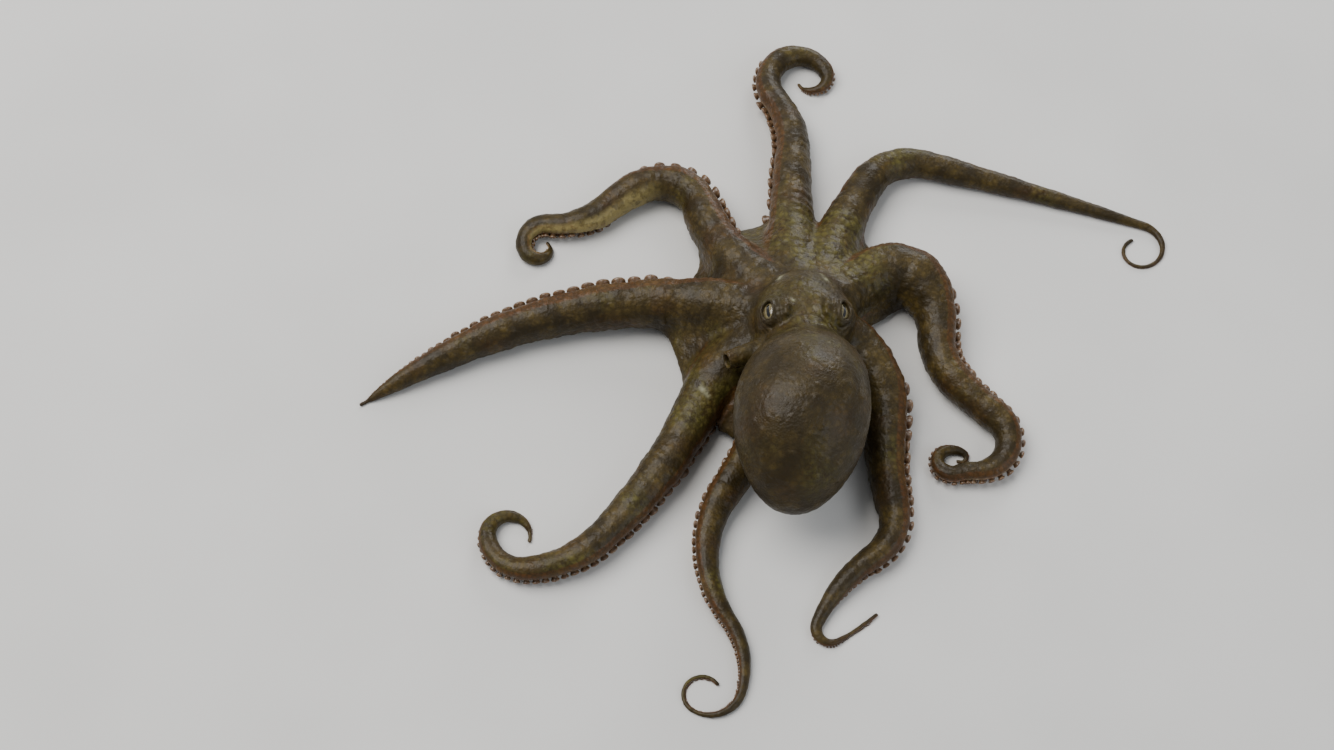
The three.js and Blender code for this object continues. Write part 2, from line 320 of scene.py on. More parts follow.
def skin_reach(width, angle):
    """The outline of the skin alone, which leaves the suckers their room."""
    return reach(width, angle, width * (DEPTH_SHARE / 2 - SUCKER_ROOM), SKIN_ORAL_POWER)


def slack(s, whole):
    """How slack an arm is at s, from 0 to 1."""
    return 0.5 + 0.3 * np.sin(s * 0.55 + whole) + 0.2 * np.sin(s * 1.27 + 2 * whole)


LIMBS = {name: trace_arm(arm) for name, arm in ARMS.items()}


# ---- The distance field ----


class Field:
    """Distances to a surface on a regular grid, in millimetres."""

    def __init__(self, low, high):
        self.first = np.floor(np.asarray(low) / VOXEL).astype(int) - FIELD_MARGIN
        last = np.ceil(np.asarray(high) / VOXEL).astype(int) + FIELD_MARGIN
        self.axes = [np.arange(a, b) * VOXEL for a, b in zip(self.first, last)]
        self.values = np.full([len(axis) for axis in self.axes], FAR, np.float32)

    def window(self, low, high):
        """The part of the grid inside a box: its slices and its X, Y and Z."""
        ends = zip(self.axes, low, high)
        slices = tuple(slice(*np.searchsorted(axis, (a, b))) for axis, a, b in ends)
        axes = (axis[part] for axis, part in zip(self.axes, slices))
        grid = np.meshgrid(*axes, indexing="ij", copy=False)
        return slices, [part.astype(np.float32) for part in grid]

    def way_out(self, start, direction, most):
        """How far it is from a point inside the flesh to its surface, up to most."""
        steps = np.arange(0, most, VOXEL / 2)
        places = (start + steps[:, None] * direction) / VOXEL - self.first
        cells = np.clip(np.rint(places).astype(int), 0, np.array(self.values.shape) - 1)
        outside = self.values[tuple(cells.T)] > 0
        return steps[np.argmax(outside)] if outside.any() else most

    def mesh(self):
        """The zero surface, as points in millimetres and quads facing out."""
        grid = openvdb.FloatGrid(FAR)
        grid.copyFromArray(np.clip(self.values, -FAR, FAR))
        points, quads = grid.convertToQuads(isovalue=0.0)
        points = (points + self.first) * VOXEL
        a, b, c, d = (points[quads[:, i]] for i in range(4))
        volume = np.einsum("ij,ij->i", a + c, np.cross(c - a, d - b)).sum()
        return points, quads if volume > 0 else quads[:, ::-1]


def ellipsoid(grid, centre, radii):
    """Distances to an ellipsoid, true near its surface."""
    offset = [g - c for g, c in zip(grid, centre)]
    near = np.sqrt(sum((o / r) ** 2 for o, r in zip(offset, radii)))
    slope = np.sqrt(sum((o / (r * r)) ** 2 for o, r in zip(offset, radii)))
    return near * (near - 1) / np.maximum(slope, TINY)


STRETCH = 12  # stations that are worked out together
OVERLAP = 4  # stations beyond them that may be nearer
STRETCH_ROOM = 2.5  # how far off the arm


def arm_distance(grid, limb, first, last):
    """Distances to one stretch of an arm, and FAR where another stretch is nearer."""
    points = np.stack([g.ravel() for g in grid], axis=1)
    low, high = max(first - OVERLAP, 0), min(last + OVERLAP, len(limb["s"]))
    nearest = np.full(len(points), np.inf, np.float32)
    index = np.zeros(len(points), int)
    for i in range(low, high):
        gap = points - limb["centre"][i].astype(np.float32)
        distance = np.einsum("ij,ij->i", gap, gap)
        closer = distance < nearest
        nearest[closer] = distance[closer]
        index[closer] = i
    gap = points - limb["centre"][index]
    along = np.einsum("ij,ij->i", gap, limb["along"][index])
    side = np.einsum("ij,ij->i", gap, limb["side"][index])
    place = index + along / ARM_STEP
    steps = np.arange(len(limb["s"]))
    width = np.interp(place, steps, limb["width"])
    roll = np.interp(place, steps, limb["roll"])
    up = points[:, 2] - np.interp(place, steps, limb["centre"][:, 2])
    past = np.maximum(along - ARM_STEP, 0) * (index == steps[-1])
    thinned = width * (1 - SLACK_DEPTH * slack(place * ARM_STEP, limb["whole"]))
    outline = skin_reach(thinned, np.arctan2(up, side) - roll)
    distance = np.sqrt(side * side + up * up + past * past) - outline
    mine = (index >= first) & (index < last)
    return np.where(mine, distance, FAR).reshape(grid[0].shape)


def add_arm(field, limb):
    """Melts one arm into the field."""
    margin = limb["width"].max() / 2 + FAR
    low = limb["centre"].min(axis=0) - margin
    high = limb["centre"].max(axis=0) + margin
    whole, grid = field.window(low, high)
    own = np.full(grid[0].shape, FAR, np.float32)
    for first in range(0, len(limb["s"]), STRETCH):
        last = min(first + STRETCH, len(limb["s"]))
        places = limb["centre"][first:last]
        room = limb["width"][first:last].max() / 2 + STRETCH_ROOM
        slices, part = field.window(places.min(axis=0) - room, places.max(axis=0) + room)
        local = tuple(
            slice(piece.start - outer.start, piece.stop - outer.start)
            for piece, outer in zip(slices, whole)
        )
        own[local] = np.minimum(own[local], arm_distance(part, limb, first, last))
    field.values[whole] = smooth_min(field.values[whole], own, BLEND["arm"])


def azimuth_at(limb, radius):
    """The azimuth at which an arm crosses a circle round the mouth."""
    distance = np.hypot(limb["centre"][:, 0], limb["centre"][:, 1])
    x, y, _ = limb["centre"][np.argmax(distance >= radius)]
    return math.atan2(y, x)


def web_reach(azimuth):
    """The distance from the mouth to the web's edge, which bows in between two arms."""
    result = np.full(azimuth.shape, min(WEB_DEPTHS), float)
    limbs = list(LIMBS.values())
    for limb, following, depth in zip(limbs, limbs[1:] + limbs[:1], WEB_DEPTHS):
        start = azimuth_at(limb, depth)
        span = (azimuth_at(following, depth) - start) % (2 * np.pi)
        offset = (azimuth - start) % (2 * np.pi)
        bow = np.minimum((2 * offset / span - 1) ** 2, 1)
        edge = depth - WEB_BOW + (WEB_RISE + WEB_BOW) * bow
        result = np.where(offset <= span, edge, result)
    return result


def web_share(x, y):
    """The distance from the mouth, and its share of the web's reach on that side, which is
    eased over the arms."""
    table = np.radians(np.arange(360))
    reaches = web_reach(table)
    turned = [np.roll(reaches, turn) for turn in range(-WEB_EASE, WEB_EASE + 1)]
    eased = np.mean(turned, axis=0)
    radius = np.hypot(x, y)
    edge = np.interp(np.arctan2(y, x), table, eased, period=2 * np.pi)
    return radius, radius / edge


def web(grid):
    """The umbrella of skin between the arms, with folds that fan out from the mouth."""
    x, y, z = grid
    flat_x, flat_y = x[:, :, 0], y[:, :, 0]
    radius, past = web_share(flat_x, flat_y)
    share = np.minimum(past, 1)
    azimuth = np.arctan2(flat_y, flat_x)
    round_x, round_y = WEB_FOLD_TURNS * np.cos(azimuth), WEB_FOLD_TURNS * np.sin(azimuth)
    fan = np.stack([round_x, round_y, radius * WEB_FOLD_STRETCH], axis=-1)
    ripple = lattice_noise(fan.reshape(-1, 3), 1, 1).reshape(radius.shape)
    folds = WEB_FOLD_HEIGHT * ripple * share**2
    over = WEB_EDGE_TOP + WEB_CROWN * (1 - share**WEB_CROWN_POWER) + folds
    under = WEB_EDGE_BOTTOM + WEB_HOLLOW * (1 - share) + folds
    slab = np.maximum((z - over[..., None]) * WEB_TAPER, under[..., None] - z)
    beyond = radius * (1 - 1 / np.maximum(past, TINY)) + WEB_EDGE_BACK
    return smooth_max(slab, beyond[..., None], EDGE["web"])


def mantle_line(share):
    """The mantle's middle, sideways and in height, from its front (0) to its rear (1)."""
    ends = MANTLE["neck_height"] + (MANTLE["back_height"] - MANTLE["neck_height"]) * share
    droop = (MANTLE["high_point"] - ends) * (2 * share - 1) ** 2
    return MANTLE["sideways"] * share, MANTLE["high_point"] - droop


def mantle(grid):
    """Distances to the mantle, a sack with a blunter front than rear."""
    x, y, z = grid
    share = (MANTLE["front"] - y) / MANTLE_LENGTH
    sideways, height = mantle_line(np.clip(share, 0, 1))
    along = 1 - 2 * share
    across = (x - sideways) / MANTLE["half_width"]
    through = (z - height) / MANTLE["half_height"]
    power = np.where(along > 0, MANTLE["front_bluntness"], 2.0)
    round_ = np.hypot(across, through)
    near = (round_**power + np.abs(along) ** power) ** (1 / power)
    slope = np.sqrt(
        (across / MANTLE["half_width"]) ** 2
        + (through / MANTLE["half_height"]) ** 2
        + (along / (MANTLE_LENGTH / 2)) ** 2
    )
    return near * (near - 1) / np.maximum(slope, TINY)


def tube(grid, start, end, radii):
    """Distances to a tapered tube with round ends."""
    start, end = np.asarray(start, float), np.asarray(end, float)
    axis = end - start
    offset = [g - c for g, c in zip(grid, start)]
    share = np.clip(sum(o * a for o, a in zip(offset, axis)) / max(axis @ axis, TINY), 0, 1)
    gap = np.sqrt(sum((o - a * share) ** 2 for o, a in zip(offset, axis)))
    return gap - (radii[0] + (radii[1] - radii[0]) * share)


def eye_frame(side):
    """An eye's centre, and its axis, forward and upward directions."""
    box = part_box("eye_right" if side > 0 else "eye_left")
    low, high = (np.array(corner) / MM for corner in box)
    axis = unit(np.array(EYE_AXIS) * (side, 1, 1))
    forward = unit(np.cross((0, 0, 1), axis) * side)
    upward = unit(np.cross(axis, forward) * side)
    return (low + high) / 2, axis, forward, upward


def eye_place(grid, side):
    """Where points lie off an eye: along its axis, forwards, upwards, and how far."""
    centre, *directions = eye_frame(side)
    offset = [g - c for g, c in zip(grid, centre)]
    parts = [sum(o * d for o, d in zip(offset, direction)) for direction in directions]
    return (*parts, np.sqrt(sum(o * o for o in offset)))


def add_eye(field, side):
    """A mound with two lids round an oval opening, cut clear of the eyeball."""
    mound = np.array(MOUND_CENTRE) * (side, 1, 1)
    slices, grid = field.window(mound - 2 * MOUND_RADIUS, mound + 2 * MOUND_RADIUS)
    values = field.values[slices]
    values = smooth_min(values, ellipsoid(grid, mound, [MOUND_RADIUS] * 3), BLEND["mound"])
    along, forward, upward, off = eye_place(grid, side)
    values = smooth_min(values, off - (EYE_RADIUS + EYE_CAPSULE), BLEND["capsule"])
    half_width, half_height = EYE_OPENING
    oval = (np.hypot(forward / half_width, upward / half_height) - 1) * half_height
    lid = np.hypot(oval - LID["outside"], off - (EYE_RADIUS + LID["above"])) - LID["thickness"]
    values = np.where(along > 0, smooth_min(values, lid, BLEND["lid"]), values)
    opening = np.maximum(np.maximum(oval, EYE_RADIUS - EYE_BARED - off), -along)
    field.values[slices] = smooth_max(values, -opening, EDGE["opening"])


def add_siphon(field):
    """The short tube beside the neck, cut off square and open at its rim."""
    start, end = np.array(SIPHON["start"], float), np.array(SIPHON["end"], float)
    low, high = np.minimum(start, end), np.maximum(start, end)
    slices, grid = field.window(low - SIPHON["room"], high + SIPHON["room"])
    axis = unit(end - start)
    outer = tube(grid, start, end - axis * SIPHON["lip"], (SIPHON["root"], SIPHON["rim"]))
    past_rim = sum((g - c) * a for g, c, a in zip(grid, end, axis)) + SIPHON["trim"]
    outer = smooth_max(outer, past_rim, EDGE["rim"])
    values = smooth_min(field.values[slices], outer, BLEND["siphon"])
    inmost, outmost = end - axis * SIPHON["bore_depth"], end + axis * SIPHON["bore_past"]
    bore = tube(grid, inmost, outmost, (SIPHON["bore"], SIPHON["bore"]))
    field.values[slices] = smooth_max(values, -bore, EDGE["bore"])


def add_mouth(field):
    """Puckered lips round an opening, on the underside."""
    slices, grid = field.window((-8, -8, 0), (8, 8, 9))
    x, y, z = grid
    radius = np.hypot(x, y)
    pucker = LIPS["fold_depth"] * np.cos(LIPS["folds"] * np.arctan2(y, x))
    lips = np.hypot(radius - LIPS["radius"], z - LIPS["height"]) - LIPS["thickness"] - pucker
    values = smooth_min(field.values[slices], lips, BLEND["lips"])
    gape = np.maximum(radius - GAPE["radius"] - pucker / 2, z - GAPE["top"])
    field.values[slices] = smooth_max(values, -gape, EDGE["gape"])


def add_body(field):
    """The web, with the mouth's mass under the middle and the head on top."""
    slices, grid = field.window((-38, -38, -2), (38, 38, 26))
    values = smooth_min(field.values[slices], web(grid), BLEND["web"])
    values = smooth_min(values, ellipsoid(grid, **MOUTH), BLEND["mouth"])
    field.values[slices] = smooth_min(values, ellipsoid(grid, **HEAD), BLEND["head"])


def add_mantle(field):
    """The mantle round the neck. Its edge is free below and grown onto the head above."""
    slices, grid = field.window((-20, -52, 2), (18, -2, 34))
    head = smooth_min(ellipsoid(grid, **HEAD), ellipsoid(grid, **NECK), BLEND["neck"])
    grown_on = smoothstep(*MANTLE_JOIN_HEIGHTS, grid[2])
    blend = MANTLE_SEAM + (MANTLE_JOIN - MANTLE_SEAM) * grown_on
    joined = smooth_min(mantle(grid), head, blend)
    field.values[slices] = np.minimum(field.values[slices], joined)


def build_field():
    """The whole animal's flesh, cut flat just above the floor."""
    low, high = (np.array(corner) / MM for corner in CAD_BOX)
    field = Field(low, high)
    for limb in LIMBS.values():
        add_arm(field, limb)
    add_body(field)
    add_mouth(field)
    for side in (-1, 1):
        add_eye(field, side)
    add_mantle(field)
    add_siphon(field)
    under = FIELD_FLOOR - field.axes[2].astype(np.float32)
    values = smooth_max(field.values, under[None, None, :], EDGE["floor"])
    field.values = values.astype(np.float32)
    return field


# ---- Meshes ----


def new_mesh(name, points, faces):
    """A smooth-shaded mesh object from points in millimetres."""
    data = bpy.data.meshes.new(name)
    sides = faces.shape[1]
    data.vertices.add(len(points))
    data.vertices.foreach_set("co", (np.asarray(points, float) * MM).ravel())
    data.loops.add(faces.size)
    data.loops.foreach_set("vertex_index", faces.ravel().astype(np.int32))
    data.polygons.add(len(faces))
    data.polygons.foreach_set("loop_start", np.arange(0, faces.size, sides, dtype=np.int32))
    data.update(calc_edges=True)
    data.validate()
    data.shade_smooth()
    return add_object(name, data)


def bands(rings, sides, first=0, closed=True):
    """The quads that join rings of points in a row."""
    faces = []
    for low in range(first, first + (rings - 1) * sides, sides):
        for i in range(sides if closed else sides - 1):
            j = (i + 1) % sides
            faces.append((low + i, low + j, low + sides + j, low + sides + i))
    return faces


def set_attribute(obj, name, values):
    layer = obj.data.attributes.new(name, "FLOAT", "POINT")
    layer.data.foreach_set("value", np.asarray(values, np.float32))


def point_normals(points, quads):
    """The normal at each point, from the quads round it."""
    normals = np.zeros_like(points)
    a, b, c, d = (points[quads[:, i]] for i in range(4))
    facing = np.cross(c - a, d - b)
    for corner in range(4):
        np.add.at(normals, quads[:, corner], facing)
    return normals / np.maximum(np.linalg.norm(normals, axis=1, keepdims=True), TINY)


# ---- Skin ----

PEBBLE_SIZE = 1.5
RELIEF = dict(groove=0.10, grain=0.035, swell=0.15, fold=0.08)  # heights on a thick arm
ORAL_SMOOTHNESS = 0.85
FOLD_SPACING = 2.3
FOLD_SWAY = 3.5  # how much the folds across an arm waver
# Place and width, in openings of the eye, and depth
LID_CREASES = ((1.75, 0.14, 0.3), (2.35, 0.16, 0.16), (2.95, 0.18, 0.1))
# How far ahead of the eye's top, radius and height
BROW_PAPILLAE = ((-0.425, 0.7, 0.8), (0.025, 0.85, 1.2), (0.475, 0.65, 0.6))
BROW_OUT = 0.9  # how far off the eyeball they stand
MANTLE_PAPILLAE = 60
UNDERSIDE_TOP = 9.0

OLIVE_PATCHES = ((11, 15, 12), (-21, -20, 7))  # where it is greenest: x, y and radius
LIT_FLANK_ARM = "left_2"  # its outer half has painted light, a pale straw band along its own left side
PALE_FLECKS = (  # start, end and radius
    ((3.2, 5.6), (4.5, 2.4), 0.5),
    ((-4.4, 4.8), (-5.0, 3.2), 0.45),
    ((1.8, -6.1), (1.8, -6.1), 0.5),
    ((-2.6, -4.2), (-2.6, -4.2), 0.4),
    ((-21.0, -17.5), (-19.6, -19.0), 0.55),
    ((-17.6, -23.0), (-17.2, -24.6), 0.45),
)


def arm_places(points):
    """Where each point lies on the arm nearest to it: which arm, how far along it, the
    width there, the angle round it from its left over its back, and how surely the point
    is on that arm and not on the body."""
    limbs = list(LIMBS.values())
    starts = np.cumsum([0] + [len(limb["s"]) for limb in limbs])
    tree = KDTree(int(starts[-1]))
    for limb, start in zip(limbs, starts):
        for i, centre in enumerate(limb["centre"]):
            tree.insert(centre, int(start) + i)
    tree.balance()
    index = np.array([tree.find(point)[1] for point in points])
    joined = {
        key: np.concatenate([limb[key] for limb in limbs])[index]
        for key in ("s", "width", "roll", "centre", "side")
    }
    number = np.searchsorted(starts, index, side="right") - 1
    whole = np.array([limb["whole"] for limb in limbs])[number]
    gap = points - joined["centre"]
    sideways = np.einsum("ij,ij->i", gap, joined["side"])
    lean = np.arctan2(gap[:, 2], sideways)
    angle = lean - joined["roll"]
    off = np.hypot(gap[:, 2], sideways) / skin_reach(joined["width"], angle)
    return dict(
        number=number, s=joined["s"], share=joined["s"] / whole, width=joined["width"],
        lean=lean, angle=angle, sure=1 - smoothstep(1.04, 1.3, off),
    )


def region_masks(points, normals, place):
    """What each point of the skin is part of, as shares from 0 to 1."""
    columns = list(points.T)
    x, y, z = columns
    sack = smoothstep(1.2, 0.3, mantle(columns))
    near_head = smoothstep(2.0, 0.6, ellipsoid(columns, **HEAD))
    head = (1 - sack) * near_head * smoothstep(13, 16, z)
    arm = place["sure"] * (1 - sack) * (1 - head)
    oral = smoothstep(0.35, 0.8, -np.sin(place["angle"])) * arm
    _, past = web_share(x, y)
    facing_down = smoothstep(-0.1, -0.7, normals[:, 2]) * (z < UNDERSIDE_TOP)
    under = facing_down * smoothstep(1.0, 0.72, past) * (1 - sack)
    return dict(mantle=sack, head=head, arm=arm, oral=np.maximum(oral, under))


def lid_folds(points):
    """The creases that set the lids off from the mounds, and finer folds round them."""
    total = np.zeros(len(points))
    for side in (-1, 1):
        along, forward, upward, _ = eye_place(list(points.T), side)
        oval = np.hypot(forward / EYE_OPENING[0], upward / EYE_OPENING[1])
        front = smoothstep(0.2, 1.2, along)
        for place, width, depth in LID_CREASES:
            total -= depth * front * np.exp(-(((oval - place) / width) ** 2))
    return total


def relief(points, place, masks, grooves):
    """How far the skin's surface stands out (mm) with its pebbles, folds and papillae."""
    on_arm = masks["arm"] > 0.5
    scale = np.where(on_arm, np.clip(place["width"] / ROOT_WIDTH, 0.12, 1), 1.0)
    rough_side = (1 - ORAL_SMOOTHNESS * masks["oral"]) * (1 - 0.4 * masks["mantle"])
    fine = lattice_noise(points, 1.3, 3) + 0.6 * lattice_noise(points, 0.8, 4)
    broad = lattice_noise(points, 9, 5) + 0.5 * lattice_noise(points, 4.2, 6)
    height = -RELIEF["groove"] * grooves * rough_side * np.sqrt(scale)
    height += RELIEF["grain"] * fine * rough_side * np.sqrt(scale)
    height += RELIEF["swell"] * broad * scale
    fold = np.sin(place["s"] * 2 * np.pi / FOLD_SPACING + FOLD_SWAY * broad) * masks["arm"]
    folded = smoothstep(-0.7, 0.9, lattice_noise(points, 6, 10))
    height += RELIEF["fold"] * fold * folded * scale * rough_side
    height += lid_folds(points)
    for centre, radius, rise in papillae():
        height += rise * np.exp(-np.sum((points - centre) ** 2, axis=1) / radius**2)
    return height


def papillae():
    """Raised points of skin: over the eyes, and scattered over the mantle."""
    random = np.random.default_rng(SEED)
    made = []
    for side in (-1, 1):
        centre, axis, forward, upward = eye_frame(side)
        for ahead, radius, height in BROW_PAPILLAE:
            top = unit(upward + axis * 0.45 + forward * ahead)
            made.append((centre + top * (EYE_RADIUS + BROW_OUT), radius, height))
    for _ in range(MANTLE_PAPILLAE):
        share = random.uniform(0.05, 0.93)
        turn = random.uniform(-1.5, 1.5)
        swell = math.sqrt(1 - (1 - 2 * share) ** 2)
        sideways, height = mantle_line(share)
        centre = (
            sideways + MANTLE["half_width"] * swell * math.sin(turn),
            MANTLE["front"] - share * MANTLE_LENGTH,
            height + MANTLE["half_height"] * swell * math.cos(turn),
        )
        made.append((np.array(centre), random.uniform(0.4, 0.75), random.uniform(0.08, 0.3)))
    return made


def skin_tones(points, place, masks):
    """Where the skin is darker, rusty, olive or marked with a pale fleck, and where painted light
    lies pale along one arm's side.
    """
    x, y, z = points.T
    patchy = lattice_noise(points, 11, 7) + 0.6 * lattice_noise(points, 4.5, 8)
    near_olive = sum(
        np.exp(-((x - at_x) ** 2 + (y - at_y) ** 2) / radius**2)
        for at_x, at_y, radius in OLIVE_PATCHES
    )
    olive = smoothstep(0.1, 1.0, patchy + 0.9 * near_olive)
    edge = smoothstep(0.45, 0.9, np.abs(np.cos(place["angle"])))
    edge = edge * (np.sin(place["angle"]) < 0.25) * masks["arm"]
    rust = np.clip(edge + 0.3 * smoothstep(0.1, 0.7, lattice_noise(points, 5, 9)), 0, 1)
    dark = 0.6 * masks["mantle"] + 0.3 * masks["head"]
    fleck = np.zeros(len(points))
    for side in (-1, 1):
        along, forward, upward, off = eye_place(list(points.T), side)
        bar = np.exp(-((upward / 1.5) ** 2)) * smoothstep(10, 4, off) * (along > -1)
        lids = np.exp(-(((off - EYE_RADIUS - 0.4) / 0.9) ** 2)) * (along > 0)
        lids = lids * smoothstep(4, 2, np.hypot(forward, upward))
        dark = np.maximum(dark, np.maximum(0.8 * bar, lids))
    for start, end, radius in PALE_FLECKS:
        near = tube([x, y, 0 * z], (*start, 0), (*end, 0), (0, 0))
        fleck = np.maximum(fleck, np.exp(-((near / radius) ** 2)) * (z > 6))
    # Painted light: the outer half of one arm is made pale straw on the side that faces its own
    # left, whichever way it rolls.
    lit_flank_arm = list(LIMBS).index(LIT_FLANK_ARM)
    lit_flank = (place["number"] == lit_flank_arm) * smoothstep(0.45, 0.58, place["share"])
    lit_flank = lit_flank * smoothstep(0.35, 0.85, np.cos(place["lean"]))
    return dict(olive=olive, rust=rust, dark=np.clip(dark, 0, 1), fleck=fleck, lit_flank=lit_flank)


def build_skin(field):
    """The skin's mesh, with the attributes that its material reads."""
    points, quads = field.mesh()
    normals = point_normals(points, quads)
    place = arm_places(points)
    masks = region_masks(points, normals, place)
    grooves = 1 - smoothstep(0.0, 0.5, cracks(points, PEBBLE_SIZE, 2))
    points = points + normals * relief(points, place, masks, grooves)[:, None]
    points[:, 2] = np.maximum(points[:, 2], FLOOR_GAP)
    made = new_mesh("skin", points, quads)
    # The groove attribute also darkens the colour in the grooves: painted shade.
    set_attribute(made, "groove", grooves * (1 - ORAL_SMOOTHNESS * masks["oral"]))
    set_attribute(made, "oral", masks["oral"])
    for name, values in skin_tones(points, place, masks).items():
        set_attribute(made, name, values)
    return made


# ---- Suckers ----

# Profiles from the stalk over the rim into the cup, as shares of radius and height.
SUCKER_PROFILE = (
    (0.55, -0.6), (0.6, 0.0), (0.74, 0.36), (0.95, 0.62), (1.0, 0.8), (0.95, 0.95),
    (0.84, 1.0), (0.68, 0.92), (0.5, 0.74), (0.4, 0.6), (0.36, 0.38), (0.26, 0.15), (0.0, 0.1),
)
SMALL_SUCKER_PROFILE = (
    (0.6, -0.5), (0.7, 0.3), (0.98, 0.7), (0.9, 1.0), (0.6, 0.85), (0.4, 0.4), (0.0, 0.2),
)
SUCKER_SIDES = 16
SMALL_SUCKER_SIDES = 10
SMALL_SUCKERS_BELOW = 5.0  # arm width
SMALL_SUCKERS_WITHIN = 18.0  # along the arm, by the mouth
MOUTH_SUCKER_SHARE = 0.42  # of their usual size, for the first ones


def sucker_template(sides, profile):
    """A sucker one unit in radius and height, standing up along Z: its points, its faces
    and how far into the cup each point is."""
    angles = np.linspace(0, 2 * np.pi, sides, endpoint=False)
    points, cups = [], []
    for ring, (radius, height) in enumerate(profile[:-1]):
        points += [(radius * math.cos(a), radius * math.sin(a), height) for a in angles]
        cups += [ring / (len(profile) - 1)] * sides
    points.append((0, 0, profile[-1][1]))
    cups.append(1)
    faces = bands(len(profile) - 1, sides)
    last = (len(profile) - 2) * sides
    for i in range(0, sides, 2):
        faces.append((last + i, last + i + 1, last + (i + 2) % sides, len(points) - 1))
    return np.array(points, float), np.array(faces), np.array(cups)


def arm_frame(limb, s):
    """The arm's centre, left and back directions, turned by its roll once it is clear of
    the web, and its width without any swelling."""

    def at(key):
        return np.array([np.interp(s, limb["s"], column) for column in limb[key].T])

    centre = at("centre")
    _, share = web_share(*centre[:2])
    roll = np.interp(s, limb["s"], limb["roll"]) * smoothstep(0.7, 1.05, share)
    side = unit(at("side"))
    up = np.array((0, 0, 1))
    left = side * math.cos(roll) + up * math.sin(roll)
    back = up * math.cos(roll) - side * math.sin(roll)
    return centre, left, back, float(np.interp(s, limb["s"], limb["tapered"]))


def build_suckers(name, limb, field):
    """All of one arm's suckers, in two alternating rows that shrink towards the tip."""
    large = sucker_template(SUCKER_SIDES, SUCKER_PROFILE)
    small = sucker_template(SMALL_SUCKER_SIDES, SMALL_SUCKER_PROFILE)
    random = np.random.default_rng(SEED + int(limb["whole"]))
    all_points, all_faces, all_cups = [], [], []
    total, s, row = 0, 0.5, 1
    while s < limb["whole"] - 1:
        centre, left, back, width = arm_frame(limb, s)
        points, faces, cups = large if width > SMALL_SUCKERS_BELOW else small
        grown = smoothstep(0, SMALL_SUCKERS_WITHIN, s)
        width *= MOUTH_SUCKER_SHARE + (1 - MOUTH_SUCKER_SHARE) * grown
        sideways = row * SUCKER_ROW * width
        depth = field.way_out(centre + left * sideways, -back, ROOT_WIDTH)
        axis = unit(left * row * random.uniform(0.32, 0.5) - back)
        first = unit(np.cross(axis, (0.3, 1, 0.2)))
        second = np.cross(axis, first)
        radius = width * SUCKER_RADIUS * random.uniform(0.92, 1.08)
        height = width * SUCKER_HEIGHT * random.uniform(0.9, 1.05)
        base = centre + left * sideways - back * depth
        flat = points[:, :1] * first + points[:, 1:2] * second
        all_points.append(base + radius * flat + height * points[:, 2:] * axis)
        all_faces.append(faces + total)
        all_cups.append(cups)
        total += len(points)
        s += width * SUCKER_RADIUS * SUCKER_SPACING
        row = -row
    points = np.concatenate(all_points)
    points[:, 2] = np.maximum(points[:, 2], FLOOR_GAP)
    made = new_mesh(f"suckers_{name}", points, np.concatenate(all_faces))
    set_attribute(made, "cup", np.concatenate(all_cups))
    return made


# ---- Eyes and beak ----

# The slit pupil, in shares of the eye's radius.
PUPIL = dict(half_length=0.34, inner=0.08, outer=0.15, depth=0.012)
BEAK = dict(half_width=1.25, reach=1.3, flare=0.7, hook=0.25, height=2.6, below_lips=0.9)
LOWER_JAW_SIZE = 0.82


def build_eye(side):
    """An eyeball whose front is the iris, with the slit pupil sunk a little into it."""
    centre, axis, forward, upward = eye_frame(side)
    rings, sides = 64, 96
    tilt = np.linspace(0, np.pi, rings + 1)[1:-1]
    turn = np.linspace(0, 2 * np.pi, sides, endpoint=False)
    tilts, turns = np.meshgrid(tilt, turn, indexing="ij")
    off_axis = np.sin(tilts)
    local = np.stack([np.cos(tilts), off_axis * np.cos(turns), off_axis * np.sin(turns)], -1)
    local = np.concatenate([[[1, 0, 0]], local.reshape(-1, 3), [[-1, 0, 0]]])
    pupil = pupil_share(local)
    radius = EYE_RADIUS * (1 - PUPIL["depth"] * pupil)
    directions = np.stack([axis, forward, upward])
    points = centre + (local * radius[:, None]) @ directions
    faces = [(a, d, c, b) for a, b, c, d in bands(rings - 1, sides, 1)]
    last = 1 + (rings - 2) * sides
    for i in range(0, sides, 2):
        faces.append((0, 1 + i, 1 + i + 1, 1 + (i + 2) % sides))
        faces.append((len(points) - 1, last + (i + 2) % sides, last + i + 1, last + i))
    faces = np.array(faces)
    if side < 0:
        faces = faces[:, ::-1]
    made = new_mesh("eyeball_right" if side > 0 else "eyeball_left", points, faces)
    set_attribute(made, "pupil", pupil)
    set_attribute(made, "out", np.hypot(local[:, 1], local[:, 2]))
    set_attribute(made, "turn", np.arctan2(local[:, 2], local[:, 1]))
    return made


def pupil_share(local):
    """1 inside the eye's slit, which runs fore and aft, and 0 on the iris round it."""
    _, forward, upward = local.T
    slit = np.maximum(np.abs(forward) - PUPIL["half_length"], 0)
    return 1 - smoothstep(PUPIL["inner"], PUPIL["outer"], np.hypot(slit, upward))


def build_beak():
    """The two dark horny jaws, one hooked over the other, just inside the lips."""
    rings, sides = 8, 17
    points, faces = [], []
    for jaw, (facing, size) in enumerate(((1, 1.0), (-1, LOWER_JAW_SIZE))):
        tip = LIPS["height"] - BEAK["below_lips"] + BEAK["hook"] * (1 - size)
        for ring in range(rings + 1):
            share = ring / rings  # from the point of the jaw up to its base
            spread = size * share ** BEAK["flare"]
            for i in range(sides):
                angle = math.pi * i / (sides - 1)
                x = BEAK["half_width"] * spread * math.cos(angle)
                out = BEAK["reach"] * spread * math.sin(angle) - BEAK["hook"] * (1 - share) * size
                points.append((x, facing * out, tip + BEAK["height"] * share))
        faces += bands(rings + 1, sides, jaw * (rings + 1) * sides, closed=False)
    return new_mesh("beak", np.array(points), np.array(faces))


# ---- Materials ----

